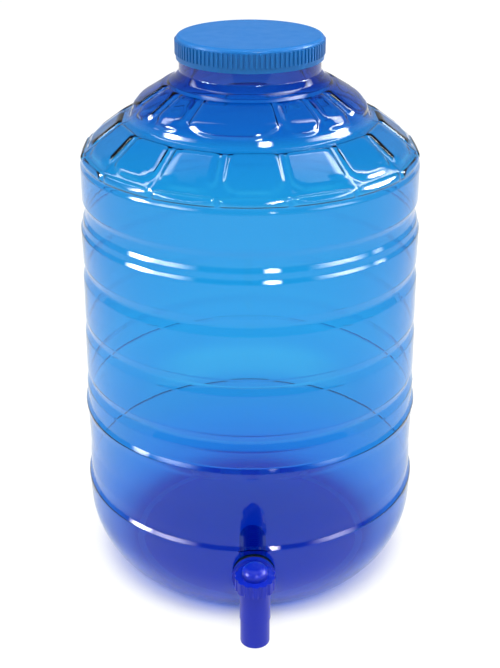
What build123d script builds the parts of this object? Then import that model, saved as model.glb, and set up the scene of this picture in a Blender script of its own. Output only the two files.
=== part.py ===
from math import asin, cos, degrees, radians, sin
import os

from build123d import *

# A wide-mouth drinking-water jar of about 20 litres with a ribbed screw cap and a turn-plug tap.
# Millimetres. The origin is on the jar's axis in the plane it stands on; the tap points to -Y.

# ---------------------------------------------------------------- driving dimensions
# Jar
WALL = 1.2                      # blown wall
SEAT_R = 105.5                  # where the heel would meet the ground
SEAT_INNER_R = 92.0             # inner edge of the standing ring
PUSH_UP = 9.0                   # height of the pushed-up base at the axis
PUSH_UP_MID = (50.6, 6.5)       # a point half way along its arc: radius, height
HEEL_R = 134.9                  # body radius where the heel arc ends
HEEL_TOP = 57.5
SEAT_ROUND = 9.0
BODY_TOP = 344.0                # top of the plain band under the shoulder
BAND_R = 131.0                  # radius of that band

# Corners of the body's outline above the heel: radius, height, rounding
BODY_CORNERS = (
    (135.7, 73.5, 2.0),         # lower ridge, with a small ledge over it
    (134.2, 75.6, 2.0),
    (133.9, 86.0, 8.0),
    (133.2, 104.0, 30.0),       # waist
    (134.2, 134.0, 12.0),
    (135.1, 140.5, 2.0),        # upper ridge and its ledge
    (133.6, 142.7, 2.0),
    (133.8, 157.5, 4.0),        # fourth groove
    (131.4, 164.0, 3.5),
    (133.4, 170.5, 4.0),
    (133.2, 202.5, 4.0),        # third groove
    (131.2, 209.0, 3.5),
    (132.8, 215.5, 4.0),
    (132.6, 249.5, 4.0),        # second groove
    (129.8, 256.5, 4.0),
    (132.2, 263.5, 4.0),
    (132.6, 289.5, 2.0),        # first groove, entered by two ledges
    (130.9, 292.4, 2.0),
    (130.6, 297.2, 2.0),
    (128.7, 300.5, 2.5),
    (128.4, 308.5, 4.0),
    (131.0, 313.5, 4.0),
)

# Shoulder: a belt and a lower tier of flat panels round a pyramid, then an upper tier on a cone.
# The pyramid is given by the distance from the axis to the middle of a side.
LOWER_PANELS = 16
PANEL_ANGLE = 360 / LOWER_PANELS
BELT_BOTTOM_A = 131.4           # just proud of the plain band
BELT_TOP_A = 126.5
BELT_TOP = 353.0
LOWER_TOP_A = 97.6
LOWER_TOP = 375.5
UPPER_CONE = ((93.5, 379.0), (84.5, 389.5), (64.0, 402.5))      # radius, height
PANEL_RISE = 1.6                # panels stand this far out of the grooves between them
GROOVE = 5.0                    # width of those grooves
BELT_RADII = (127.3, 145.0)     # seen from above, each row of panels lies between two radii
LOWER_RADII = (99.5, 123.4)
UPPER_RADII = (56.0, 91.0)
CUT_DEPTH = 6.0                 # a panel's outer corners are cut off, this far along the radius
CUT_SHARE = 0.2                 # and over this share of its angle at each side
# The upper row repeats every quarter turn: one wide petal and two narrow ones. Edges in degrees
# round the axis, from the tap towards +X
UPPER_EDGES = (-33.75, 14.25, 35.25, 56.25)
QUARTERS = 4

# Neck and cap
NECK_R = 54.0
NECK_WALL = 2.4
COLLAR_R = 62.5                 # cone between the petals and the neck
COLLAR_BOTTOM = 400.5
COLLAR_TOP_R = 57.0
COLLAR_TOP = 406.0
NECK_ROOT = 411.0
THREAD_ROOT_R = 53.0
THREAD_ROOT_Z = 421.0
NECK_TOP = 433.0
LINER_T = 1.5
LINER_PLAY = 0.15               # above and below the liner
LINER_GAP = 0.5                 # from its edge to the inside of the skirt
CAP_BOTTOM = 419.6
CAP_TOP_T = 2.2
CAP_R = 55.9                    # skirt, without its ribs
CAP_CLEARANCE = 0.8             # from the neck to the inside of the skirt
CAP_ROUND = 3.2
RIB_BOTTOM = 423.4              # the skirt is plain below its ribs
RIB_COUNT = 96
RIB_DEPTH = 0.9
RIB_WIDTH = 1.9

# Tap
TAP_Z = 52.0                    # height of the inlet stem
BOSS_R = 20.0                   # flat place in the wall
BOSS_Y = -133.6                 # its outer face
TAP_HOLE_R = 10.0
WASHER_R = 16.0
WASHER_T = 2.0
FLANGE_R = 16.5
FLANGE_T = 3.0
STEM_R = 9.5
STEM_END_Y = -84.0
STEM_BORE_R = 5.0
BARREL_Y = -168.0               # axis of the upright barrel
BARREL_R = 11.3
SPOUT_R = 10.85
SPOUT_TIP = 20.0
SPOUT_TOP = 40.0
BARREL_TOP = 66.0
SPOUT_BORE_R = 6.5
CHAMBER_R = 7.5
CHAMBER_BOTTOM = 40.0
NUT_FLATS = 26.0
NUT_T = 8.0
PLUG_FIT = 0.05                 # radial clearance of everything that turns in the chamber
PLUG_END_GAP = 0.3
PORT_R = 4.5
RING_T = 4.0
SPINDLE_R = 4.0
SPINDLE_SQUARE = 5.6
O_RING_R = 1.0
O_RING_OFFSET = 7.6             # of each seal from the port's axis
KNOB_GAP = 0.4
KNOB_R = 14.8
KNOB_SKIRT = 9.6
KNOB_DOME_R = 9.6
KNOB_TOP = 84.0
KNOB_FLUTES = 14
KNOB_FLUTE_R = 2.2
KNOB_FLUTE_OUT = 1.2            # how far their centres stand outside the skirt
KNOB_DOME_ROUND = 6.0

CAP_TOP = NECK_TOP + LINER_T + 2 * LINER_PLAY + CAP_TOP_T
CAP_BORE_R = NECK_R + CAP_CLEARANCE
LINER_R = CAP_BORE_R - LINER_GAP
FLANGE_BACK = BOSS_Y - WASHER_T
FLANGE_FRONT = FLANGE_BACK - FLANGE_T
INNER_FACE = BOSS_Y + WALL
RING_BOTTOM = BARREL_TOP - RING_T
PLUG_R = CHAMBER_R - PLUG_FIT
PLUG_BOTTOM = CHAMBER_BOTTOM + PLUG_END_GAP
PLUG_TOP = RING_BOTTOM - PLUG_END_GAP
KNOB_BOTTOM = BARREL_TOP + KNOB_GAP
KNOB_SHOULDER = KNOB_BOTTOM + KNOB_SKIRT
BARREL_PLANE = Plane((0, BARREL_Y, 0))


def facing_front(y):
    """A sketch plane that faces -Y, drawn in X and Z."""
    return Plane((0, y, 0), x_dir=(1, 0, 0), z_dir=(0, -1, 0))


# ---------------------------------------------------------------- bottle
def ringed_body(skin):
    """Base, heel and ringed wall up to the shoulder, with every face moved inwards by skin."""
    with BuildPart() as body:
        with BuildSketch(Plane.XZ) as outline:
            with BuildLine():
                ThreePointArc(
                    (0, PUSH_UP + skin),
                    (PUSH_UP_MID[0], PUSH_UP_MID[1] + skin),
                    (SEAT_INNER_R, skin),
                )
                Line((SEAT_INNER_R, skin), (SEAT_R - skin, skin))
                heel = TangentArc(
                    (HEEL_R - skin, HEEL_TOP),
                    (SEAT_R - skin, skin),
                    tangent=(0, -1),
                )
                Polyline(
                    heel @ 0,
                    *[(r - skin, z) for r, z, _ in BODY_CORNERS],
                    (BAND_R - skin, BODY_TOP + skin),
                    (0, BODY_TOP + skin),
                    (0, PUSH_UP + skin),
                )
            make_face()
            for r, z, rounding in BODY_CORNERS:
                fillet(outline.vertices().sort_by_distance((r - skin, z))[0], rounding)
            fillet(outline.vertices().sort_by_distance((SEAT_R - skin, skin))[0], SEAT_ROUND)
        revolve(axis=Axis.Z)
    return body.part


def shoulder(skin, recess, bottom):
    """The stepped shoulder without grooves, moved inwards by skin and recess."""
    inset = skin + recess
    with BuildPart() as tiers:
        for apothem, height in (
            (BELT_BOTTOM_A - inset, bottom),
            (BELT_TOP_A - inset, BELT_TOP - inset),
            (LOWER_TOP_A - inset, LOWER_TOP - inset),
        ):
            with BuildSketch(Plane.XY.offset(height)):
                RegularPolygon(apothem, LOWER_PANELS, major_radius=False, rotation=PANEL_ANGLE / 2)
        loft(ruled=True)
        with BuildSketch(Plane.XZ):
            with BuildLine():
                Polyline(
                    (0, BELT_TOP),
                    (UPPER_CONE[0][0] - inset, BELT_TOP),
                    *[(r - inset, z - inset) for r, z in UPPER_CONE],
                    (0, UPPER_CONE[-1][1] - inset),
                    (0, BELT_TOP),
                )
            make_face()
        revolve(axis=Axis.Z)
    return tiers.part


def in_plan(radius, azimuth):
    """A point seen from above; azimuth in degrees from the tap towards +X."""
    return (radius * sin(radians(azimuth)), -radius * cos(radians(azimuth)))


def panel_outline(edges, radii, skin):
    """One panel seen from above, with its two outer corners cut off."""
    inner, outer = radii[0] + skin, radii[1] - skin
    cut_angle = (edges[1] - edges[0]) * CUT_SHARE
    cut_radius = outer - CUT_DEPTH

    def corner(radius, edge, inwards):
        gap = degrees(asin((GROOVE / 2 + skin) / radius))
        return in_plan(radius, edge + inwards * gap)

    with BuildSketch(mode=Mode.PRIVATE) as outline:
        with BuildLine():
            ThreePointArc(
                corner(outer, edges[0] + cut_angle, 1),
                in_plan(outer, sum(edges) / 2),
                corner(outer, edges[1] - cut_angle, -1),
            )
            Polyline(
                corner(outer, edges[1] - cut_angle, -1),
                corner(cut_radius, edges[1], -1),
                corner(inner, edges[1], -1),
                corner(inner, edges[0], 1),
                corner(cut_radius, edges[0], 1),
                corner(outer, edges[0] + cut_angle, 1),
            )
        make_face()
    return outline.sketch


def panel_columns(skin):
    """Upright prisms on every panel's outline, tall enough to pass through the shoulder."""
    side = (-PANEL_ANGLE / 2, PANEL_ANGLE / 2)
    with BuildPart() as columns:
        with BuildSketch(Plane.XY.offset(BODY_TOP + skin)):
            with PolarLocations(0, LOWER_PANELS):
                add(panel_outline(side, BELT_RADII, skin))
                add(panel_outline(side, LOWER_RADII, skin))
            for edges in zip(UPPER_EDGES, UPPER_EDGES[1:]):
                with PolarLocations(0, QUARTERS):
                    add(panel_outline(edges, UPPER_RADII, skin))
        extrude(amount=NECK_ROOT - BODY_TOP)
    return columns.part


def neck(skin, neck_skin):
    """Collar and neck; the cavity's neck runs out through the rim."""
    with BuildPart() as finish:
        with BuildSketch(Plane.XZ):
            with BuildLine():
                Polyline(
                    (0, BELT_TOP),
                    (COLLAR_R - skin, BELT_TOP),
                    (COLLAR_R - skin, COLLAR_BOTTOM - skin),
                    (COLLAR_TOP_R - neck_skin, COLLAR_TOP - skin),
                    (NECK_R - neck_skin, NECK_ROOT - skin),
                    (NECK_R - neck_skin, THREAD_ROOT_Z),
                    (THREAD_ROOT_R - neck_skin, THREAD_ROOT_Z + NECK_R - THREAD_ROOT_R),
                    (THREAD_ROOT_R - neck_skin, NECK_TOP + skin),
                    (0, NECK_TOP + skin),
                    (0, BELT_TOP),
                )
            make_face()
        revolve(axis=Axis.Z)
    return finish.part


def jar_form(skin, neck_skin):
    """The whole jar as a full solid, with every face moved inwards by skin."""
    with BuildPart() as form:
        add(shoulder(skin, 0, BODY_TOP + skin))
        add(panel_columns(skin), mode=Mode.INTERSECT)
        add(shoulder(skin, PANEL_RISE, BODY_TOP + skin))
        add(ringed_body(skin))
        add(neck(skin, neck_skin))
        # Flat boss for the tap
        with BuildSketch(facing_front(BOSS_Y + skin)):
            with Locations((0, TAP_Z)):
                Circle(BOSS_R - skin)
        extrude(amount=-BOSS_R)
        with BuildSketch(facing_front(BOSS_Y + skin)):
            with Locations((0, TAP_Z)):
                Circle(BOSS_R + skin)
        extrude(amount=BOSS_R, mode=Mode.SUBTRACT)
    return form.part


with BuildPart() as bottle:
    add(jar_form(0, 0))
    add(jar_form(WALL, NECK_WALL), mode=Mode.SUBTRACT)
    with BuildSketch(facing_front(BOSS_Y)):
        with Locations((0, TAP_Z)):
            Circle(TAP_HOLE_R)
    extrude(amount=-BOSS_R, mode=Mode.SUBTRACT)

# ---------------------------------------------------------------- cap
with BuildPart() as screw_cap:
    with BuildSketch(Plane.XY.offset(CAP_BOTTOM)):
        Circle(CAP_R)
    extrude(amount=CAP_TOP - CAP_BOTTOM)
    fillet(screw_cap.edges().group_by(Axis.Z)[-1], CAP_ROUND)
    with BuildSketch(Plane.XY.offset(RIB_BOTTOM)):
        with PolarLocations(CAP_R, RIB_COUNT):
            Rectangle(2 * RIB_DEPTH, RIB_WIDTH)
    extrude(amount=CAP_TOP - CAP_ROUND - RIB_BOTTOM)
    with BuildSketch(Plane.XY.offset(CAP_BOTTOM)):
        Circle(CAP_BORE_R)
    extrude(amount=CAP_TOP - CAP_TOP_T - CAP_BOTTOM, mode=Mode.SUBTRACT)

with BuildPart() as cap_liner:
    with BuildSketch(Plane.XY.offset(NECK_TOP + LINER_PLAY)):
        Circle(LINER_R)
    extrude(amount=LINER_T)

# ---------------------------------------------------------------- tap
with BuildPart() as tap_body:
    # Barrel and spout
    with BuildSketch(BARREL_PLANE.offset(SPOUT_TIP)):
        Circle(SPOUT_R)
    extrude(amount=SPOUT_TOP - SPOUT_TIP)
    with BuildSketch(BARREL_PLANE.offset(SPOUT_TOP)):
        Circle(BARREL_R)
    extrude(amount=BARREL_TOP - SPOUT_TOP)
    # Flange and stem
    with BuildSketch(facing_front(FLANGE_FRONT)):
        with Locations((0, TAP_Z)):
            Circle(FLANGE_R)
    extrude(amount=-FLANGE_T)
    with BuildSketch(facing_front(BARREL_Y)):
        with Locations((0, TAP_Z)):
            Circle(STEM_R)
    extrude(amount=BARREL_Y - STEM_END_Y)
    # Waterways
    with BuildSketch(facing_front(BARREL_Y)):
        with Locations((0, TAP_Z)):
            Circle(STEM_BORE_R)
    extrude(amount=BARREL_Y - STEM_END_Y, mode=Mode.SUBTRACT)
    with BuildSketch(BARREL_PLANE.offset(CHAMBER_BOTTOM)):
        Circle(CHAMBER_R)
    extrude(amount=BARREL_TOP - CHAMBER_BOTTOM, mode=Mode.SUBTRACT)
    with BuildSketch(BARREL_PLANE.offset(SPOUT_TIP)):
        Circle(SPOUT_BORE_R)
    extrude(amount=CHAMBER_BOTTOM - SPOUT_TIP, mode=Mode.SUBTRACT)


def ring_on_stem(outer_r, back_y, thickness):
    """A flat washer on the inlet stem; back_y is its face nearest the spout."""
    with BuildPart() as ring:
        with BuildSketch(facing_front(back_y)):
            with Locations((0, TAP_Z)):
                Circle(outer_r)
                Circle(STEM_R, mode=Mode.SUBTRACT)
        extrude(amount=-thickness)
    return ring.part


with BuildPart() as flange_washer:
    add(ring_on_stem(WASHER_R, FLANGE_BACK, WASHER_T))

with BuildPart() as inner_washer:
    add(ring_on_stem(WASHER_R, INNER_FACE, WASHER_T))

with BuildPart() as backnut:
    with BuildSketch(facing_front(INNER_FACE + WASHER_T)):
        with Locations((0, TAP_Z)):
            RegularPolygon(NUT_FLATS / 2, 6, major_radius=False)
            Circle(STEM_R, mode=Mode.SUBTRACT)
    extrude(amount=-NUT_T)

# ---------------------------------------------------------------- valve
with BuildPart() as valve_plug:
    with BuildSketch(BARREL_PLANE.offset(PLUG_BOTTOM)):
        Circle(PLUG_R)
    extrude(amount=PLUG_TOP - PLUG_BOTTOM)
    with BuildSketch(BARREL_PLANE.offset(PLUG_TOP)):
        Circle(SPINDLE_R)
    extrude(amount=KNOB_BOTTOM - PLUG_TOP)
    with BuildSketch(BARREL_PLANE.offset(KNOB_BOTTOM)):
        Rectangle(SPINDLE_SQUARE, SPINDLE_SQUARE)
    extrude(amount=KNOB_SKIRT)
    # The waterway comes up from below and turns out of the side; closed, it faces +X
    with BuildSketch(BARREL_PLANE.offset(PLUG_BOTTOM)):
        Circle(PORT_R)
    extrude(amount=TAP_Z - PLUG_BOTTOM, mode=Mode.SUBTRACT)
    with BuildSketch(Plane((0, BARREL_Y, TAP_Z), x_dir=(0, 1, 0), z_dir=(1, 0, 0))):
        Circle(PORT_R)
    extrude(amount=CHAMBER_R, mode=Mode.SUBTRACT)
    # Seal grooves
    for side in (-1, 1):
        with BuildSketch(BARREL_PLANE.offset(TAP_Z + side * O_RING_OFFSET - O_RING_R)):
            Circle(PLUG_R)
            Circle(PLUG_R - 2 * O_RING_R, mode=Mode.SUBTRACT)
        extrude(amount=2 * O_RING_R, mode=Mode.SUBTRACT)


def o_ring(height):
    """A seal round the plug, centred at the given height."""
    with BuildPart() as seal:
        with Locations((0, BARREL_Y, height)):
            Torus(PLUG_R - O_RING_R, O_RING_R)
    return seal.part


with BuildPart() as lower_o_ring:
    add(o_ring(TAP_Z - O_RING_OFFSET))

with BuildPart() as upper_o_ring:
    add(o_ring(TAP_Z + O_RING_OFFSET))

with BuildPart() as retaining_ring:
    with BuildSketch(BARREL_PLANE.offset(RING_BOTTOM)):
        Circle(CHAMBER_R)
        Circle(SPINDLE_R + PLUG_FIT, mode=Mode.SUBTRACT)
    extrude(amount=RING_T)

with BuildPart() as tap_knob:
    with BuildSketch(BARREL_PLANE.offset(KNOB_BOTTOM)):
        Circle(KNOB_R)
        with PolarLocations(KNOB_R + KNOB_FLUTE_OUT, KNOB_FLUTES):
            Circle(KNOB_FLUTE_R, mode=Mode.SUBTRACT)
    extrude(amount=KNOB_SKIRT)
    with BuildSketch(BARREL_PLANE.offset(KNOB_SHOULDER)):
        Circle(KNOB_DOME_R)
    extrude(amount=KNOB_TOP - KNOB_SHOULDER)
    fillet(tap_knob.edges().group_by(Axis.Z)[-1], KNOB_DOME_ROUND)
    with BuildSketch(BARREL_PLANE.offset(KNOB_BOTTOM)):
        Rectangle(SPINDLE_SQUARE, SPINDLE_SQUARE)
    extrude(amount=KNOB_SKIRT, mode=Mode.SUBTRACT)

# ---------------------------------------------------------------- output
PIECES = {
    "bottle": bottle,
    "screw_cap": screw_cap,
    "cap_liner": cap_liner,
    "tap_body": tap_body,
    "flange_washer": flange_washer,
    "inner_washer": inner_washer,
    "backnut": backnut,
    "valve_plug": valve_plug,
    "lower_o_ring": lower_o_ring,
    "upper_o_ring": upper_o_ring,
    "retaining_ring": retaining_ring,
    "tap_knob": tap_knob,
}
os.makedirs("parts", exist_ok=True)
for name, piece in PIECES.items():
    piece.part.label = name
    export_step(piece.part, f"parts/{name}.step")
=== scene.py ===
import math

import bmesh
import bpy
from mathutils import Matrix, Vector


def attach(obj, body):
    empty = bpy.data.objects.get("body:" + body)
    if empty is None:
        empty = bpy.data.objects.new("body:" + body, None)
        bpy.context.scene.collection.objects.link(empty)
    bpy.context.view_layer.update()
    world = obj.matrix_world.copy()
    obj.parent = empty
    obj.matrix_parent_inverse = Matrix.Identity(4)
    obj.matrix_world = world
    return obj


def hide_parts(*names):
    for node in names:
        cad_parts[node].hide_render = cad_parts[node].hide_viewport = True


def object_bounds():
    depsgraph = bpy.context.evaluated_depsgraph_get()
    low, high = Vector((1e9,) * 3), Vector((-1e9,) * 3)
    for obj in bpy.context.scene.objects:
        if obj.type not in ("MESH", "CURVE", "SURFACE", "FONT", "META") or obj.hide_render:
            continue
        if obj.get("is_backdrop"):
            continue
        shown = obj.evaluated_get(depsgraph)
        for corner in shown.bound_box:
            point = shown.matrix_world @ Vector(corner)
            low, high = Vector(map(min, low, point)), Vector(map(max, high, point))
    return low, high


# A 20 litre drinking-water jar: a blown shell of clear blue plastic, a ribbed screw cap and a
# turn-plug tap low on the front. The tap points to -Y. Sizes are in mm and angles in degrees.
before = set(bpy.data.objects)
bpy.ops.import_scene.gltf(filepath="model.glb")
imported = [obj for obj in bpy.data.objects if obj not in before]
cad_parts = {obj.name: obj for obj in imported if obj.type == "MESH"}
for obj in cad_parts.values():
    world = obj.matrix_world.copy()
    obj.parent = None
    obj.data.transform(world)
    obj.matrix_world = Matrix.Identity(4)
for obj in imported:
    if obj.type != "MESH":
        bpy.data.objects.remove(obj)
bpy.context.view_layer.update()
bpy.ops.object.select_all(action="DESELECT")

# ------------------------------------------------------------------ bottle
# The jar is one stretch-blown shell of clear blue plastic, 1.2 mm thick, with a thicker neck.
# Rings stiffen the body, raised panels with grooves between them stiffen the stepped shoulder,
# and the base is pushed up so that the jar stands on a ring.
MM = 0.001
SAME_PLACE = 0.01
MERGE_DISTANCE = 0.02
ARC_STEP = 12.5

PUSH_UP = 9.0
PUSH_UP_STEPS = 7
STANDING_RING_R = 92.0
# Points of the standing ring: radius, height
STANDING_RING = ((98.0, 0.0), (100.8, 0.5), (103.6, 1.9), (106.6, 4.3))
HEEL_FOOT_R = 105.5
HEEL_BOTTOM = 7.6
HEEL_R = 134.9
HEEL_TOP = 57.5
HEEL_STEPS = 9
BAND_R = 131.0
BAND_TOP = 340.0

# Corners of the ringed body above the heel: radius, height, rounding
RINGS = (
    (135.65, 72.9, 1.2),
    (133.45, 76.0, 1.2),
    (133.9, 86.0, 8.0),
    (133.2, 104.0, 30.0),
    (134.2, 134.0, 12.0),
    (135.3, 139.6, 1.2),
    (133.1, 143.1, 1.2),
    (133.8, 157.5, 4.0),
    (131.4, 164.0, 3.5),
    (133.4, 170.5, 4.0),
    (133.2, 202.5, 4.0),
    (131.2, 209.0, 3.5),
    (132.8, 215.5, 4.0),
    (132.6, 249.5, 4.0),
    (129.8, 256.5, 4.0),
    (132.2, 263.5, 4.0),
    (132.6, 289.5, 1.8),
    (130.9, 292.4, 1.8),
    (130.6, 297.2, 1.8),
    (128.7, 300.5, 2.2),
    (128.4, 308.5, 4.0),
    (131.0, 313.5, 4.0),
)
# Corners of the shoulder and neck; up to the step the radius is to the middle of a panel
SHOULDER = (
    (BAND_R, BAND_TOP, 4.0),
    (131.4, 345.0, 3.0),
    (126.5, 353.0, 2.5),
    (97.8, 375.2, 2.5),
    (94.2, 376.2, 2.2),
    (91.8, 381.0, 3.0),
    (84.5, 389.5, 12.0),
    (64.0, 402.3, 1.6),
    (61.6, 402.9, 1.2),
    (57.2, 406.0, 1.5),
    (54.0, 410.5, 1.2),
    (54.0, 421.0, 0.6),
    (53.0, 422.0, 0.6),
)
JAR_TOP = 433.0
RIM = (53.0, JAR_TOP)


def outline_point(x, z):
    """A first loose vertex, in edit mode, from which an outline is extruded."""
    bpy.ops.mesh.primitive_plane_add(size=MM, location=(0, 0, 0))
    bpy.ops.object.mode_set(mode="EDIT")
    bpy.ops.mesh.merge(type="CENTER")
    bpy.ops.transform.translate(value=(x * MM, 0, z * MM))
    return bpy.context.object


def draw_outline(points):
    """Extrudes the selected vertex through the rest of the points, given as x and z in mm."""
    for (x0, z0), (x1, z1) in zip(points, points[1:]):
        step = ((x1 - x0) * MM, 0, (z1 - z0) * MM)
        bpy.ops.mesh.extrude_region_move(TRANSFORM_OT_translate={"value": step})


def round_corner(obj, before, corner, after, radius):
    """Rounds one corner of an outline with an arc of the given radius."""
    arms = [(Vector(end) - Vector(corner)).normalized() for end in (before, after)]
    half = arms[0].angle(arms[1]) / 2
    mesh = bmesh.from_edit_mesh(obj.data)
    place = Vector((corner[0], 0, corner[1])) * MM
    for vert in mesh.verts:
        vert.select_set((vert.co - place).length < SAME_PLACE * MM)
    mesh.select_flush_mode()
    bmesh.update_edit_mesh(obj.data)
    bpy.ops.mesh.bevel(
        offset=radius / math.tan(half) * MM,
        segments=max(2, round((math.pi - 2 * half) / math.radians(ARC_STEP))),
        affect="VERTICES",
        clamp_overlap=True,
    )


def divide_long_edges(obj, longest, low, high):
    """Divides the outline's edges between two heights so that none is longer than this."""
    mesh = bmesh.from_edit_mesh(obj.data)
    wanted = {}
    for edge in mesh.edges:
        middle = (edge.verts[0].co.z + edge.verts[1].co.z) / 2 / MM
        cuts = math.ceil(edge.calc_length() / MM / longest) - 1
        if low < middle < high and cuts > 0:
            wanted.setdefault(cuts, []).append(edge)
    for cuts, edges in wanted.items():
        bmesh.ops.subdivide_edges(mesh, edges=edges, cuts=cuts)
    bmesh.update_edit_mesh(obj.data)


heel_centre_r = (HEEL_R ** 2 - HEEL_FOOT_R ** 2 - HEEL_TOP ** 2) / (2 * (HEEL_R - HEEL_FOOT_R))
heel_arc_r = HEEL_R - heel_centre_r
base_points = [
    (STANDING_RING_R * i / PUSH_UP_STEPS, PUSH_UP * (1 - (i / PUSH_UP_STEPS) ** 2))
    for i in range(PUSH_UP_STEPS + 1)
] + list(STANDING_RING)
heel_start = math.asin((HEEL_TOP - HEEL_BOTTOM) / heel_arc_r)
heel_points = [
    (
        heel_centre_r + heel_arc_r * math.cos(heel_start * (1 - i / HEEL_STEPS)),
        HEEL_TOP - heel_arc_r * math.sin(heel_start * (1 - i / HEEL_STEPS)),
    )
    for i in range(HEEL_STEPS + 1)
]
corners = RINGS + SHOULDER
outline = base_points + heel_points + [(r, z) for r, z, _ in corners] + [RIM]

bottle = outline_point(*outline[0])
bottle.name = "jar_shell"
draw_outline(outline)
first_corner = len(base_points) + len(heel_points)
for index, (r, z, rounding) in enumerate(corners, start=first_corner):
    round_corner(bottle, outline[index - 1], outline[index], outline[index + 1], rounding)
# Longest edge allowed between two heights: fine where panels and the tap's boss are pressed
LONGEST_EDGES = (
    (6.5, 28.0, 76.0),
    (15.0, 76.0, BAND_TOP),
    (1.3, BAND_TOP, 363.0),
    (2.4, 363.0, 374.5),
    (1.3, 378.0, 389.0),
    (3.0, 389.0, 402.4),
)
for longest, low, high in LONGEST_EDGES:
    divide_long_edges(bottle, longest, low, high)

# The outline goes round the axis in narrow steps where grooves lie and in wide ones elsewhere.
# Each quarter is made of these spans: angle, steps. The tap's boss needs more steps in its span.
FIRST_EDGE = -36.0
QUARTERS = 4
TAP_SPAN = 3
TAP_SPAN_STEPS = 12
QUARTER_SPANS = (
    (4.5, 8), (18.0, 6), (4.5, 8), (18.0, 6), (7.5, 12), (15.0, 5), (6.0, 9), (16.5, 6),
)
bpy.ops.mesh.select_all(action="SELECT")
bpy.ops.transform.rotate(
    value=math.radians(90 - FIRST_EDGE), orient_axis="Z", center_override=(0, 0, 0)
)
for quarter in range(QUARTERS):
    for index, (span, steps) in enumerate(QUARTER_SPANS):
        if quarter == 0 and index == TAP_SPAN:
            steps = TAP_SPAN_STEPS
        bpy.ops.mesh.spin(steps=steps, angle=-math.radians(span), center=(0, 0, 0), axis=(0, 0, 1))
bpy.ops.mesh.select_all(action="SELECT")
bpy.ops.mesh.remove_doubles(threshold=MERGE_DISTANCE * MM)
bpy.ops.mesh.normals_make_consistent(inside=False)
bpy.ops.object.mode_set(mode="OBJECT")

# Panels stand RISE above the grooves between them. A belt of low panels and a row of pads have
# 16 sides; above a step lies a row of petals of three widths. Pads and petals have their lower
# corners cut off.
RISE = 1.8
GROOVE = 5.2
EDGE_SOFTNESS = 1.4
CORNER_SOFTNESS = 0.9
FARTHEST_GAP = 30.0
SIDES = 16
SIDE_ANGLE = 360 / SIDES
PETAL_EDGES = (-33.75, 14.25, 35.25, 56.25)
PETAL_REPEAT = 90
CUT_DEPTH = 7.0
CUT_SHARE = 0.2
# Rows of panels: foot and top of the slope as radius and height, then where the panels start and
# end on it, as shares of its length
BELT_ROW = ((131.4, 345.0), (126.5, 353.0), 0.12, 0.80)
LOWER_ROW = ((126.5, 353.0), (97.6, 375.5), 0.085, 0.96)
UPPER_ROW = ((91.8, 381.0), (64.0, 402.3), 0.07, 0.95)
BELT_TOP = 353.0
STEP_Z = 377.0
PANELS_TOP_R = 62.0
GROOVES_DEEPEN_OVER = 4.0
# The flat sides fade in above the round band and out again towards the round step
FLAT_FROM = 344.0
FLAT_OVER = 9.0
ROUND_R = 93.5
ROUND_OVER = 4.0


def ease(value):
    """0 below 0, 1 above 1 and smooth between."""
    value = min(max(value, 0.0), 1.0)
    return value * value * (3 - 2 * value)


def panel_mask(row, radius, height, off_centre, half_angle):
    """1 on a panel, 0 in the grooves round it, smooth between."""
    (r0, z0), (r1, z1), start, end = row
    length = math.hypot(r1 - r0, z1 - z0)
    along = ((radius - r0) * (r1 - r0) + (height - z0) * (z1 - z0)) / length
    half_width = radius * math.radians(half_angle) - GROOVE / 2
    to_side = half_width - radius * math.radians(abs(off_centre))
    above_start = along - start * length
    cut_width = 2 * CUT_SHARE * half_width
    slant = 1 / math.hypot(1 / CUT_DEPTH, 1 / cut_width)
    to_cut = (above_start / CUT_DEPTH + to_side / cut_width - 1) * slant
    gaps = [to_side, above_start, end * length - along]
    if row is not BELT_ROW:
        gaps.append(to_cut)
    nearest = -CORNER_SOFTNESS * math.log(
        sum(math.exp(-max(gap, -FARTHEST_GAP) / CORNER_SOFTNESS) for gap in gaps)
    )
    return ease((nearest + EDGE_SOFTNESS) / (2 * EDGE_SOFTNESS))


def petal_place(azimuth):
    """Degrees from the middle of the petal that an azimuth falls in, and that petal's half angle."""
    turned = (azimuth - PETAL_EDGES[0]) % PETAL_REPEAT + PETAL_EDGES[0]
    for first, last in zip(PETAL_EDGES, PETAL_EDGES[1:]):
        if turned <= last:
            break
    return turned - (first + last) / 2, (last - first) / 2


# The flat boss that the tap is clamped to, and the hole in it
TAP_Z = 52.0
BOSS_R = 18.5
BOSS_BLEND = 5.0
BOSS_Y = -133.6
TAP_HOLE_R = 10.0

# The wall is twice as thick at the neck. It is thinned over the panels' edges, which lightens
# them as a painted highlight for the light lines that reflections draw there, and low on the
# back, which lightens a patch there as painted light.
NECK_WALL = 2.4
BODY_SHARE = 0.5
NECK_FROM = 404.0
NECK_OVER = 5.0
EDGE_THINNING_FOR_PAINTED_HIGHLIGHT = 0.6
BACK_THINNING_FOR_PAINTED_LIGHT = 0.8
BACK_Z = 97.0
BACK_HALF_HEIGHT = 24.0
BACK_SPREAD = 52.0
BACK_PLATEAU = 1.6
SHARP_ANGLE = 50

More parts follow.
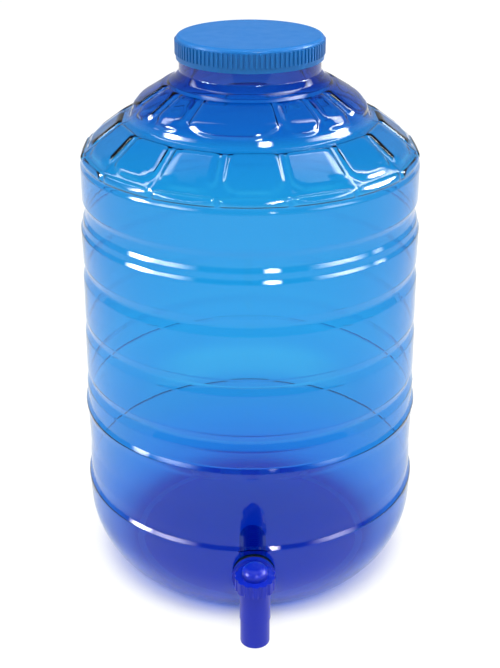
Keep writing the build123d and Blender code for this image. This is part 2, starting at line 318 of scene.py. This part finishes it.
wall_share = bottle.vertex_groups.new(name="wall")
outwards = [vert.normal.copy() for vert in bottle.data.vertices]
for vert, normal in zip(bottle.data.vertices, outwards):
    x, y, z = vert.co / MM
    radius = math.hypot(x, y)
    azimuth = math.degrees(math.atan2(x, -y))
    to_tap = math.hypot(x, z - TAP_Z)
    if y < 0 and to_tap < BOSS_R + BOSS_BLEND:
        y += (BOSS_Y - y) * ease((BOSS_R + BOSS_BLEND - to_tap) / BOSS_BLEND)
        vert.co = Vector((x, y, z)) * MM
    share = BODY_SHARE + (1 - BODY_SHARE) * ease((z - NECK_FROM) / NECK_OVER)
    if z <= BAND_TOP or radius < PANELS_TOP_R:
        # Painted light: the wall is thinned low on the back so that a patch there shows brighter
        off_back = max(abs(z - BACK_Z) / BACK_HALF_HEIGHT, (180 - abs(azimuth)) / BACK_SPREAD)
        share *= 1 - BACK_THINNING_FOR_PAINTED_LIGHT * ease(BACK_PLATEAU * (1 - off_back))
        wall_share.add([vert.index], share, "REPLACE")
        continue
    off_side = (azimuth + SIDE_ANGLE / 2) % SIDE_ANGLE - SIDE_ANGLE / 2
    if z < STEP_Z:
        row = BELT_ROW if z < BELT_TOP else LOWER_ROW
        mask = panel_mask(row, radius, z, off_side, SIDE_ANGLE / 2)
        flat = 1 / math.cos(math.radians(off_side))
        fade = ease((z - FLAT_FROM) / FLAT_OVER) * ease((radius - ROUND_R) / ROUND_OVER)
        grow = 1 + (flat - 1) * fade
    else:
        mask = panel_mask(UPPER_ROW, radius, z, *petal_place(azimuth))
        grow = 1
    sink = RISE * (1 - mask) * ease((z - BAND_TOP) / GROOVES_DEEPEN_OVER)
    vert.co = Vector((x * grow, y * grow, z)) * MM - normal * sink * MM
    # Painted highlight: the wall is thinned over the panels' edges so that they show lighter
    on_edge = 4 * mask * (1 - mask)
    wall_share.add([vert.index], share * (1 - EDGE_THINNING_FOR_PAINTED_HIGHLIGHT * on_edge), "REPLACE")

bpy.ops.object.mode_set(mode="EDIT")
mesh = bmesh.from_edit_mesh(bottle.data)
for face in mesh.faces:
    place = face.calc_center_median() / MM
    in_hole = place.y < 0 and math.hypot(place.x, place.z - TAP_Z) < TAP_HOLE_R
    face.select_set(in_hole)
bmesh.update_edit_mesh(bottle.data)
bpy.ops.mesh.delete(type="FACE")
mesh = bmesh.from_edit_mesh(bottle.data)
for vert in mesh.verts:
    if vert.is_boundary and vert.co.z < HEEL_R * MM:
        spoke = Vector((vert.co.x, vert.co.z - TAP_Z * MM)).normalized() * TAP_HOLE_R * MM
        vert.co = (spoke.x, BOSS_Y * MM, TAP_Z * MM + spoke.y)
bmesh.update_edit_mesh(bottle.data)
bpy.ops.object.mode_set(mode="OBJECT")

# The wall goes inwards from the pressed surface
wall = bottle.modifiers.new("wall", "SOLIDIFY")
wall.thickness = NECK_WALL * MM
wall.offset = -1
wall.vertex_group = "wall"
bpy.context.view_layer.objects.active = bottle
bpy.ops.object.modifier_apply(modifier="wall")
bottle.select_set(True)
bpy.ops.object.shade_smooth_by_angle(angle=math.radians(SHARP_ANGLE))
bottle.select_set(False)

# Clear blue plastic. It absorbs light along its path, and a tint by height darkens it further:
# heights in mm and colours. Low down the tint is painted shade, for the jar's shadow on the floor
# seen through the base. It is darker too from the shoulder's step to the rim, and at the neck this
# is painted shade from the cap over it.
SHELL_IOR = 1.43
SHELL_ROUGHNESS = 0.02
ABSORPTION_COLOUR = (0.0, 0.755, 0.94)
ABSORPTION_PER_METRE = 1000.0
# The low stops and the neck's stops are painted shade
WALL_TINTS_AND_PAINTED_SHADE = (
    (0.0, (0.04, 0.42, 0.96)),
    (14.0, (0.05, 0.42, 0.88)),
    (60.0, (0.17, 0.62, 0.88)),
    (140.0, (0.34, 0.79, 0.95)),
    (230.0, (0.34, 0.76, 0.92)),
    (352.0, (0.34, 0.75, 0.91)),
    (374.0, (0.27, 0.62, 0.88)),
    (383.0, (0.09, 0.32, 0.72)),
    (404.0, (0.09, 0.27, 0.66)),
    (414.0, (0.17, 0.27, 0.56)),
    (433.0, (0.17, 0.27, 0.56)),
)
RIPPLE_SCALE = 22.0
RIPPLE_DETAIL = 1.5
RIPPLE_STRENGTH = 0.07
RIPPLE_DEPTH = 0.002
clear_blue = bpy.data.materials.new("clear_blue_shell")
clear_blue.use_nodes = True
nodes, links = clear_blue.node_tree.nodes, clear_blue.node_tree.links
output = nodes["Material Output"]
shader = nodes["Principled BSDF"]
shader.inputs["Roughness"].default_value = SHELL_ROUGHNESS
shader.inputs["IOR"].default_value = SHELL_IOR
shader.inputs["Transmission Weight"].default_value = 1.0
place = nodes.new("ShaderNodeTexCoord")
waves = nodes.new("ShaderNodeTexNoise")
waves.inputs["Scale"].default_value = RIPPLE_SCALE
waves.inputs["Detail"].default_value = RIPPLE_DETAIL
bump = nodes.new("ShaderNodeBump")
bump.inputs["Strength"].default_value = RIPPLE_STRENGTH
bump.inputs["Distance"].default_value = RIPPLE_DEPTH
links.new(place.outputs["Object"], waves.inputs["Vector"])
links.new(waves.outputs["Fac"], bump.inputs["Height"])
links.new(bump.outputs["Normal"], shader.inputs["Normal"])
height = nodes.new("ShaderNodeSeparateXYZ")
scale = nodes.new("ShaderNodeMapRange")
scale.inputs["From Max"].default_value = JAR_TOP * MM
ramp = nodes.new("ShaderNodeValToRGB")
stops = ramp.color_ramp.elements
while len(stops) < len(WALL_TINTS_AND_PAINTED_SHADE):
    stops.new(1.0)
for stop, (level, tint) in zip(stops, WALL_TINTS_AND_PAINTED_SHADE):
    stop.position = level / JAR_TOP
    stop.color = (*tint, 1)
links.new(place.outputs["Object"], height.inputs["Vector"])
links.new(height.outputs["Z"], scale.inputs["Value"])
links.new(scale.outputs["Result"], ramp.inputs["Fac"])
links.new(ramp.outputs["Color"], shader.inputs["Base Color"])
depth = nodes.new("ShaderNodeVolumeAbsorption")
depth.inputs["Color"].default_value = (*ABSORPTION_COLOUR, 1)
depth.inputs["Density"].default_value = ABSORPTION_PER_METRE
links.new(depth.outputs["Volume"], output.inputs["Volume"])
# Its shadow is a tinted one: each side of the wall passes the root of the tint by height, painted
# shade included
root = nodes.new("ShaderNodeGamma")
root.inputs["Gamma"].default_value = 0.5
shade = nodes.new("ShaderNodeBsdfTransparent")
ray = nodes.new("ShaderNodeLightPath")
mix = nodes.new("ShaderNodeMixShader")
links.new(ramp.outputs["Color"], root.inputs["Color"])
links.new(root.outputs["Color"], shade.inputs["Color"])
links.new(ray.outputs["Is Shadow Ray"], mix.inputs["Fac"])
links.new(shader.outputs["BSDF"], mix.inputs[1])
links.new(shade.outputs["BSDF"], mix.inputs[2])
links.new(mix.outputs["Shader"], output.inputs["Surface"])
bottle.data.materials.clear()
bottle.data.materials.append(clear_blue)
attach(bottle, "jar")
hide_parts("bottle")

# ------------------------------------------------------------------ neck thread
# A coarse thread of one start in the same clear blue plastic, blown with the neck. The cap climbs
# it by 8 mm a turn.
STEPS_A_TURN = 40
FLANK = 0.3


def screw_thread(name, root_r, crest_r, width, low, pitch, turns):
    """A ridge wound round the Z axis and closed at both ends, left in edit mode."""
    low_flank, high_flank = low + FLANK * width, low + (1 - FLANK) * width
    profile = ((root_r, low), (crest_r, low_flank), (crest_r, high_flank), (root_r, low + width))
    thread = outline_point(*profile[0])
    thread.name = name
    draw_outline(profile)
    bpy.ops.mesh.select_all(action="SELECT")
    bpy.ops.mesh.edge_face_add()
    bpy.ops.object.mode_set(mode="OBJECT")
    winding = thread.modifiers.new("winding", "SCREW")
    winding.axis = "Z"
    winding.angle = math.radians(360 * turns)
    winding.screw_offset = pitch * turns * MM
    winding.steps = winding.render_steps = round(STEPS_A_TURN * turns)
    winding.use_merge_vertices = False
    bpy.ops.object.modifier_apply(modifier="winding")
    bpy.ops.object.mode_set(mode="EDIT")
    bpy.ops.mesh.select_all(action="SELECT")
    bpy.ops.mesh.fill_holes(sides=4)
    bpy.ops.mesh.normals_make_consistent(inside=False)
    return thread


neck_thread = screw_thread(
    "neck_thread", root_r=52.7, crest_r=54.4, width=3.0, low=421.8, pitch=8.0, turns=1.05
)
bpy.ops.object.mode_set(mode="OBJECT")
neck_thread.data.materials.append(clear_blue)
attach(neck_thread, "jar")
neck_thread.select_set(False)

# ------------------------------------------------------------------ screw cap
# The cap is moulded in azure plastic, with fine grip ribs round its skirt, and screws on the neck.
GRAIN_SCALE = 90.0
GRAIN_DETAIL = 3.0
GRAIN_SHARE = 0.2


def uneven_gloss_group():
    """Node group: roughness that varies by a fifth about the wanted one, as a mould leaves it."""
    group = bpy.data.node_groups.new("uneven_gloss", "ShaderNodeTree")
    group.interface.new_socket("Place", in_out="INPUT", socket_type="NodeSocketVector")
    group.interface.new_socket("Roughness", in_out="INPUT", socket_type="NodeSocketFloat")
    group.interface.new_socket("Roughness", in_out="OUTPUT", socket_type="NodeSocketFloat")
    given = group.nodes.new("NodeGroupInput")
    result = group.nodes.new("NodeGroupOutput")
    grain = group.nodes.new("ShaderNodeTexNoise")
    grain.inputs["Scale"].default_value = GRAIN_SCALE
    grain.inputs["Detail"].default_value = GRAIN_DETAIL
    share = group.nodes.new("ShaderNodeMapRange")
    share.inputs["To Min"].default_value = 1 - GRAIN_SHARE
    share.inputs["To Max"].default_value = 1 + GRAIN_SHARE
    product = group.nodes.new("ShaderNodeMath")
    product.operation = "MULTIPLY"
    group.links.new(given.outputs["Place"], grain.inputs["Vector"])
    group.links.new(grain.outputs["Fac"], share.inputs["Value"])
    group.links.new(share.outputs["Result"], product.inputs[0])
    group.links.new(given.outputs["Roughness"], product.inputs[1])
    group.links.new(product.outputs[0], result.inputs["Roughness"])
    return group


uneven_gloss = uneven_gloss_group()


def moulded(name, colour, roughness, coat=0.0):
    """Solid-coloured moulded plastic, foam or rubber with a faint unevenness in its gloss."""
    material = bpy.data.materials.new(name)
    material.use_nodes = True
    nodes, links = material.node_tree.nodes, material.node_tree.links
    shader = nodes["Principled BSDF"]
    shader.inputs["Base Color"].default_value = (*colour, 1)
    shader.inputs["Specular IOR Level"].default_value = 0.25
    shader.inputs["Coat Weight"].default_value = coat
    shader.inputs["Coat Roughness"].default_value = 0.12
    shader.inputs["Coat IOR"].default_value = 1.3
    place = nodes.new("ShaderNodeTexCoord")
    gloss = nodes.new("ShaderNodeGroup")
    gloss.node_tree = uneven_gloss
    gloss.inputs["Roughness"].default_value = roughness
    links.new(place.outputs["Object"], gloss.inputs["Place"])
    links.new(gloss.outputs["Roughness"], shader.inputs["Roughness"])
    return material


def finish(material, *node_names):
    """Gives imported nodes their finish."""
    for node in node_names:
        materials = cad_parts[node].data.materials
        materials.clear()
        materials.append(material)


finish(moulded("azure_cap_plastic", (0.006, 0.125, 0.39), 0.42, coat=0.1), "screw_cap")

# ------------------------------------------------------------------ cap liner
# A disc of white foam sheet, cut to lie loose in the cap. It is pressed on the neck's rim.
finish(moulded("white_liner_foam", (0.8, 0.8, 0.78), 0.8), "cap_liner")

# ------------------------------------------------------------------ tap
# The tap's body, knob, nut and retaining ring are moulded in royal blue plastic. The body's
# flange is clamped to the wall by the nut on the threaded stem inside the jar.
royal = moulded("royal_blue_tap_plastic", (0.003, 0.016, 0.38), 0.34, coat=0.05)
finish(royal, "tap_body", "tap_knob", "backnut", "retaining_ring")

# ------------------------------------------------------------------ stem thread
# A fine thread moulded on the stem in the same plastic, from the nut to the stem's end.
stem_thread = screw_thread(
    "stem_thread", root_r=9.2, crest_r=10.3, width=2.0, low=85.0, pitch=2.5, turns=13.8
)
bpy.ops.mesh.select_all(action="SELECT")
bpy.ops.transform.rotate(value=math.radians(-90), orient_axis="X", center_override=(0, 0, 0))
bpy.ops.transform.translate(value=(0, 0, TAP_Z * MM))
bpy.ops.object.mode_set(mode="OBJECT")
stem_thread.data.materials.append(royal)
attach(stem_thread, "jar")
stem_thread.select_set(False)

# ------------------------------------------------------------------ plug and seals
# The turning plug is natural white plastic. Dark rubber washers seal the wall's hole and dark
# rubber O-rings seal the plug in its chamber.
finish(moulded("white_plug_plastic", (0.75, 0.75, 0.72), 0.45), "valve_plug")
rubber = moulded("dark_seal_rubber", (0.02, 0.02, 0.022), 0.6)
finish(rubber, "flange_washer", "inner_washer", "lower_o_ring", "upper_o_ring")

# ------------------------------------------------------------------ floor
# A wide matt white table top. It glows white further out, and takes the jar's shadow near it.
FLOOR_SIZE = 6.0
GLOW_STRENGTH = 1.1
GLOW_SHARE = 0.88
SHADOW_TO = 0.10
GLOW_FROM = 0.145


def seen_rays(nodes, links, ray):
    """1 for what the camera sees directly, in gloss or through plastic; 0 for what lights."""
    direct = nodes.new("ShaderNodeMath")
    direct.operation = "MAXIMUM"
    seen = nodes.new("ShaderNodeMath")
    seen.operation = "MAXIMUM"
    links.new(ray.outputs["Is Camera Ray"], direct.inputs[0])
    links.new(ray.outputs["Is Glossy Ray"], direct.inputs[1])
    links.new(direct.outputs[0], seen.inputs[0])
    links.new(ray.outputs["Is Transmission Ray"], seen.inputs[1])
    return seen.outputs[0]


bpy.ops.mesh.primitive_plane_add(size=FLOOR_SIZE, location=(0, 0, 0))
floor = bpy.context.object
floor.name = "studio_floor"
pale = bpy.data.materials.new("pale_floor")
pale.use_nodes = True
nodes, links = pale.node_tree.nodes, pale.node_tree.links
shader = nodes["Principled BSDF"]
shader.inputs["Base Color"].default_value = (0.9, 0.9, 0.9, 1)
shader.inputs["Roughness"].default_value = 0.9
shader.inputs["Specular IOR Level"].default_value = 0.1
glow = nodes.new("ShaderNodeEmission")
glow.inputs["Strength"].default_value = GLOW_STRENGTH
place = nodes.new("ShaderNodeTexCoord")
distance = nodes.new("ShaderNodeVectorMath")
distance.operation = "LENGTH"
spread = nodes.new("ShaderNodeMapRange")
spread.interpolation_type = "SMOOTHSTEP"
spread.inputs["From Min"].default_value = SHADOW_TO
spread.inputs["From Max"].default_value = GLOW_FROM
spread.inputs["To Max"].default_value = GLOW_SHARE
share = nodes.new("ShaderNodeMath")
share.operation = "MULTIPLY"
mix = nodes.new("ShaderNodeMixShader")
seen = seen_rays(nodes, links, nodes.new("ShaderNodeLightPath"))
links.new(place.outputs["Object"], distance.inputs[0])
links.new(distance.outputs["Value"], spread.inputs["Value"])
links.new(seen, share.inputs[0])
links.new(spread.outputs["Result"], share.inputs[1])
links.new(share.outputs[0], mix.inputs["Fac"])
links.new(shader.outputs["BSDF"], mix.inputs[1])
links.new(glow.outputs["Emission"], mix.inputs[2])
links.new(mix.outputs["Shader"], nodes["Material Output"].inputs["Surface"])
floor.data.materials.append(pale)
floor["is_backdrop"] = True

# ------------------------------------------------------------------ room
# The world lights the jar with a sky that is brighter above. Seen directly it is white; through
# plastic its ceiling is dimmer; in gloss it is dimmer still, with soft windows.
CEILING_FROM = 0.10
CEILING_FULL = 0.55
CEILING_LEVEL = 0.25
GLOSS_LEVEL = 0.5
PATCH_CORE = 0.2
# Each window: azimuth from the tap towards +X, elevation, half width and half height in degrees,
# then its strength
WINDOWS = (
    (74, 23, 36, 8, 20),
    (97, 20, 13, 9, 80),
    (-66, 23, 32, 8, 17),
    (-80, 20, 13, 10, 85),
    (14, 34, 7, 10, 85),
    (112, 44, 9, 24, 15),
    (-110, 44, 7, 22, 10),
)


def towards(azimuth, elevation):
    """Unit vector in a direction in degrees; azimuth from the tap towards +X."""
    turn, rise = math.radians(azimuth), math.radians(elevation)
    return Vector((math.sin(turn) * math.cos(rise), -math.cos(turn) * math.cos(rise), math.sin(rise)))


world = bpy.data.worlds.new("soft_room")
bpy.context.scene.world = world
world.use_nodes = True
nodes, links = world.node_tree.nodes, world.node_tree.links
direction = nodes.new("ShaderNodeTexCoord")
upwards = nodes.new("ShaderNodeSeparateXYZ")
sky = nodes.new("ShaderNodeMapRange")
sky.inputs["From Min"].default_value = -0.2
sky.inputs["From Max"].default_value = 1.0
sky.inputs["To Min"].default_value = 0.2
sky.inputs["To Max"].default_value = 0.85
room = nodes["Background"]
room.inputs["Color"].default_value = (1, 1, 1, 1)
white = nodes.new("ShaderNodeBackground")
white.inputs["Strength"].default_value = 1.0
ceiling = nodes.new("ShaderNodeMapRange")
ceiling.interpolation_type = "SMOOTHSTEP"
ceiling.inputs["From Min"].default_value = CEILING_FROM
ceiling.inputs["From Max"].default_value = CEILING_FULL
ceiling.inputs["To Min"].default_value = 1.0
ceiling.inputs["To Max"].default_value = CEILING_LEVEL
links.new(direction.outputs["Generated"], upwards.inputs["Vector"])
links.new(upwards.outputs["Z"], ceiling.inputs["Value"])
links.new(upwards.outputs["Z"], sky.inputs["Value"])
links.new(sky.outputs["Result"], room.inputs["Strength"])


def soft_window(before, azimuth, elevation, half_width, half_height, strength):
    """Adds to what gloss reflects: an oval patch of light in the given direction."""
    place = nodes.new("ShaderNodeMapping")
    place.vector_type = "TEXTURE"
    place.inputs["Location"].default_value = towards(azimuth, elevation)
    place.inputs["Rotation"].default_value = (0, 0, math.radians(azimuth))
    place.inputs["Scale"].default_value = (
        math.sin(math.radians(half_width)), 1.0, math.sin(math.radians(half_height))
    )
    from_middle = nodes.new("ShaderNodeVectorMath")
    from_middle.operation = "LENGTH"
    patch = nodes.new("ShaderNodeMapRange")
    patch.interpolation_type = "SMOOTHSTEP"
    patch.inputs["From Min"].default_value = PATCH_CORE
    patch.inputs["To Min"].default_value = strength
    patch.inputs["To Max"].default_value = 0.0
    total = nodes.new("ShaderNodeMath")
    links.new(direction.outputs["Generated"], place.inputs["Vector"])
    links.new(place.outputs["Vector"], from_middle.inputs[0])
    links.new(from_middle.outputs["Value"], patch.inputs["Value"])
    links.new(before, total.inputs[0])
    links.new(patch.outputs["Result"], total.inputs[1])
    return total.outputs[0]


dimmed = nodes.new("ShaderNodeMath")
dimmed.operation = "MULTIPLY"
dimmed.inputs[1].default_value = GLOSS_LEVEL
links.new(ceiling.outputs["Result"], dimmed.inputs[0])
reflected = dimmed.outputs[0]
for window in WINDOWS:
    reflected = soft_window(reflected, *window)
ray = nodes.new("ShaderNodeLightPath")
either = nodes.new("ShaderNodeMix")
plain = nodes.new("ShaderNodeMath")
plain.operation = "MAXIMUM"
mix = nodes.new("ShaderNodeMixShader")
links.new(ray.outputs["Is Transmission Ray"], either.inputs[0])
links.new(reflected, either.inputs[2])
links.new(ceiling.outputs["Result"], either.inputs[3])
links.new(ray.outputs["Is Camera Ray"], plain.inputs[0])
links.new(either.outputs[0], plain.inputs[1])
links.new(plain.outputs[0], white.inputs["Color"])
links.new(seen_rays(nodes, links, ray), mix.inputs["Fac"])
links.new(room.outputs["Background"], mix.inputs[1])
links.new(white.outputs["Background"], mix.inputs[2])
links.new(mix.outputs["Shader"], nodes["World Output"].inputs["Surface"])

# ------------------------------------------------------------------ lamps
# One broad soft lamp overhead and a weaker one at each side. They only light: gloss shows the
# windows above instead.
LAMP_AIM = Vector((0, 0, 0.22))


def soft_light(name, azimuth, elevation, distance, size, power):
    """A rectangular lamp that faces the middle of the jar."""
    away = towards(azimuth, elevation)
    light = bpy.data.lights.new(name, "AREA")
    light.shape = "RECTANGLE"
    light.size, light.size_y = size
    light.energy = power
    lamp = bpy.data.objects.new(name, light)
    lamp.location = LAMP_AIM + away * distance
    lamp.rotation_euler = (-away).to_track_quat("-Z", "Y").to_euler()
    lamp.visible_glossy = False
    lamp.visible_transmission = False
    bpy.context.scene.collection.objects.link(lamp)


soft_light("overhead_lamp", azimuth=0, elevation=76, distance=1.6, size=(1.0, 1.0), power=24)
soft_light("right_lamp", azimuth=70, elevation=30, distance=1.6, size=(1.2, 0.8), power=9)
soft_light("left_lamp", azimuth=-68, elevation=30, distance=1.8, size=(0.9, 0.8), power=7)

# ------------------------------------------------------------------ camera
# It looks down at the jar from just left of the tap, with the jar's axis set by a vertical shift.
CAMERA_AWAY = 903.0
CAMERA_HEIGHT = 628.3
CAMERA_TURN = math.radians(1.25)
CAMERA_PITCH = math.radians(20.66)
FOCAL_PX = 1218.9
FRAME_H = 668
AXIS_ROW = 220
SENSOR = 36.0
camera_data = bpy.data.cameras.new("camera")
camera_data.sensor_fit = "VERTICAL"
camera_data.sensor_height = SENSOR
camera_data.lens = FOCAL_PX * SENSOR / FRAME_H
camera_data.shift_y = (AXIS_ROW - FRAME_H / 2) / FRAME_H
camera = bpy.data.objects.new("camera", camera_data)
camera.location = Vector(
    (-CAMERA_AWAY * math.sin(CAMERA_TURN), -CAMERA_AWAY * math.cos(CAMERA_TURN), CAMERA_HEIGHT)
) * MM
camera.rotation_euler = (math.pi / 2 - CAMERA_PITCH, 0, -CAMERA_TURN)
bpy.context.scene.collection.objects.link(camera)
bpy.context.scene.camera = camera
bpy.context.scene.view_settings.view_transform = "Standard"

low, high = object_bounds()
